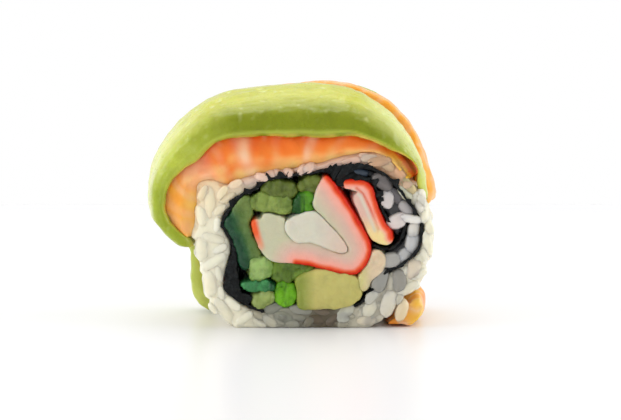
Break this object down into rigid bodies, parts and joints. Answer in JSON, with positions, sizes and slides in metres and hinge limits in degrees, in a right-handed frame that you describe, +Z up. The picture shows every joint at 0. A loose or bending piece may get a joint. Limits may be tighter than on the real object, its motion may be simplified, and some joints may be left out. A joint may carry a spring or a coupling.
{
  "type": "uramaki roll",
  "caption": "Slice of inside-out sushi: a rice ring around nori, crab stick, cucumber and avocado, with salmon and avocado slices draped over the top.",
  "frame": {"origin": "centre of the bounding box's underside, level with the flat underside of the rice", "axes": "+Z up, +Y along the roll from its front cut to its rear cut, +X to the right as the front cut is seen"},
  "size_m": [0.0564, 0.0284, 0.0465],
  "materials": {
    "rice": "moist cooked rice, cream white",
    "nori": "moist seaweed sheet, green black",
    "crab_stick": "moist crab stick, cream white with a red skin",
    "cucumber": "wet cut cucumber, mid green",
    "leaf": "wet leaf, bright green",
    "avocado": "cut ripe avocado, yellow green, darker by the skin",
    "salmon": "raw salmon, orange with pale fat lines"
  },
  "bodies": {
    "root": {"rice_ring": "rice", "rice_crescent": "rice", "nori_loop": "nori", "nori_inner": "nori", "nori_fold": "nori", "crab_large": "crab_stick", "crab_lobe": "crab_stick", "crab_small": "crab_stick", "cucumber_upper": "cucumber", "cucumber_middle": "cucumber", "cucumber_tip": "cucumber", "cucumber_skin": "cucumber", "cucumber_pale": "cucumber", "cucumber_olive": "cucumber", "cucumber_low": "cucumber", "leaf_stick": "leaf", "leaf_dark": "leaf", "leaf_bright": "leaf", "avocado_filling": "avocado", "avocado_stick": "avocado", "avocado_front": "avocado", "avocado_rear": "avocado", "salmon_slice": "salmon", "salmon_band": "salmon", "salmon_foot": "salmon"}
  },
  "joints": []
}
